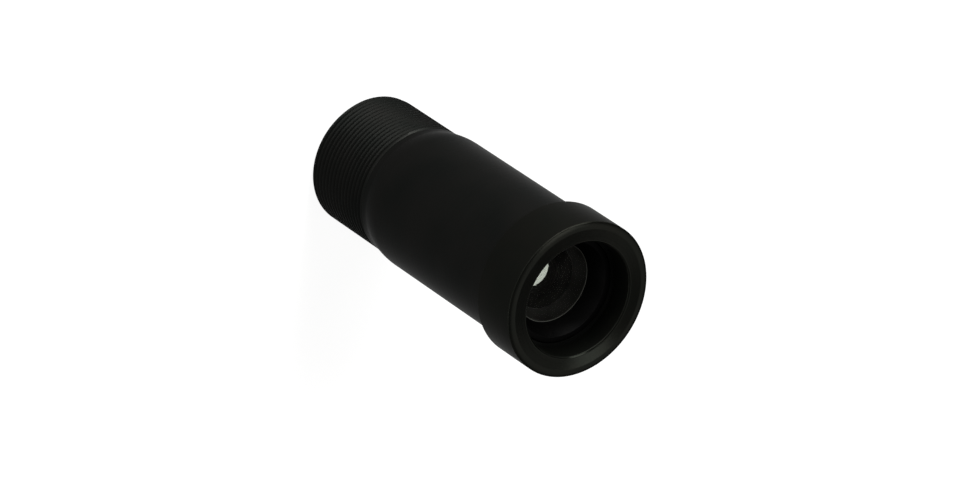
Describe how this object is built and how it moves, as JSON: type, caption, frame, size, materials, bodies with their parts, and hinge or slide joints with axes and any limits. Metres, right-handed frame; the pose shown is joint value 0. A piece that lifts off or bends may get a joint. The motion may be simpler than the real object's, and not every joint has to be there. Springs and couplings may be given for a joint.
{
  "type": "security camera lens",
  "caption": "Board lens for a security camera: slim black barrel with a fine thread at its rear, a wider hood ring in front, glass elements and rings inside.",
  "frame": {"origin": "middle of the barrel's rear rim, on the optical axis", "axes": "+Z along the optical axis from the rear rim to the hood's front face; X and Y are any pair across it, because the lens is round, and X runs along the spanner slot of the rear ring"},
  "size_m": [0.0142, 0.0142, 0.0323],
  "materials": {
    "anodised_barrel": "black anodised, satin turned",
    "anodised_hood": "black anodised, satin turned",
    "blackened_rings": "matt black anodised",
    "black_foil": "matt black",
    "coated_glass": "polished, anti-reflection coated",
    "filter_glass": "polished, infrared blocking coating"
  },
  "bodies": {
    "root": {"barrel": "anodised_barrel", "hood": "anodised_hood", "front_retaining_ring": "blackened_rings", "front_element": "coated_glass", "front_light_shield": "black_foil", "front_spacer": "blackened_rings", "second_element": "coated_glass", "second_spacer": "blackened_rings", "third_element": "coated_glass", "stop_spacer": "blackened_rings", "aperture_stop": "black_foil", "doublet_crown": "coated_glass", "doublet_flint": "coated_glass", "rear_light_shield": "black_foil", "rear_spacer": "blackened_rings", "rear_element": "coated_glass", "filter_spacer": "blackened_rings", "infrared_filter": "filter_glass", "rear_retaining_ring": "blackened_rings"}
  },
  "joints": []
}
